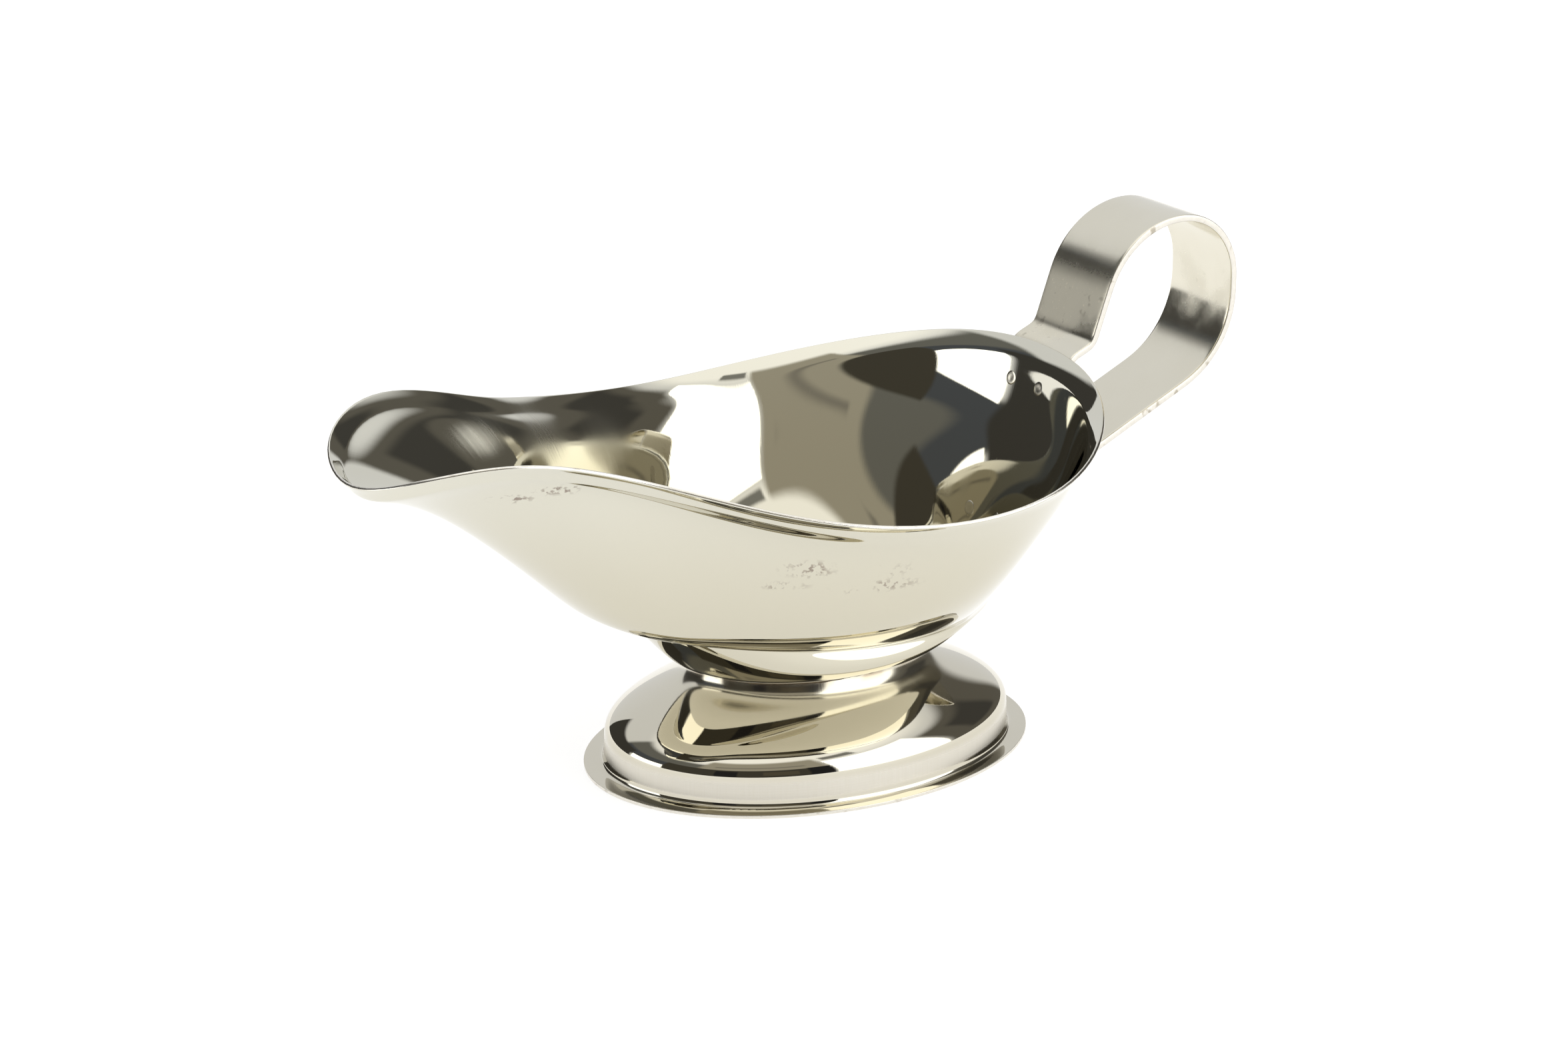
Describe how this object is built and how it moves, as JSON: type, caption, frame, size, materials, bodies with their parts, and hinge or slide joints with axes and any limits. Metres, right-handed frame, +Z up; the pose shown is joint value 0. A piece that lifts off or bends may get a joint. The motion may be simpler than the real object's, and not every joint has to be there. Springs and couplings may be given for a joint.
{
  "type": "gravy boat",
  "caption": "Footed metal gravy boat with an open oval bowl, a broad channel spout, a strap loop handle and a hollow stepped oval foot.",
  "frame": {"origin": "on the table, under the middle of the foot, which is also within 1.1 mm of the middle of the overall length", "axes": "+Z up, spout towards -X, handle towards +X, width along Y"},
  "size_m": [0.1903, 0.1038, 0.0942],
  "materials": {
    "polished_steel": "mirror-polished stainless steel, faint scratches and smudges",
    "polished_foot_steel": "mirror-polished stainless steel with a satin upright band",
    "satin_steel": "semi-satin stainless strap with paler sheared edges",
    "weld_steel": "dull spot-weld metal",
    "weld_bead": "dark, speckled, heat-tinted weld bead"
  },
  "bodies": {
    "root": {"bowl": "polished_steel", "foot": "polished_foot_steel", "handle": "satin_steel", "upper_spot_welds": "weld_steel", "lower_spot_welds": "weld_steel", "foot_weld": "weld_bead"}
  },
  "joints": []
}
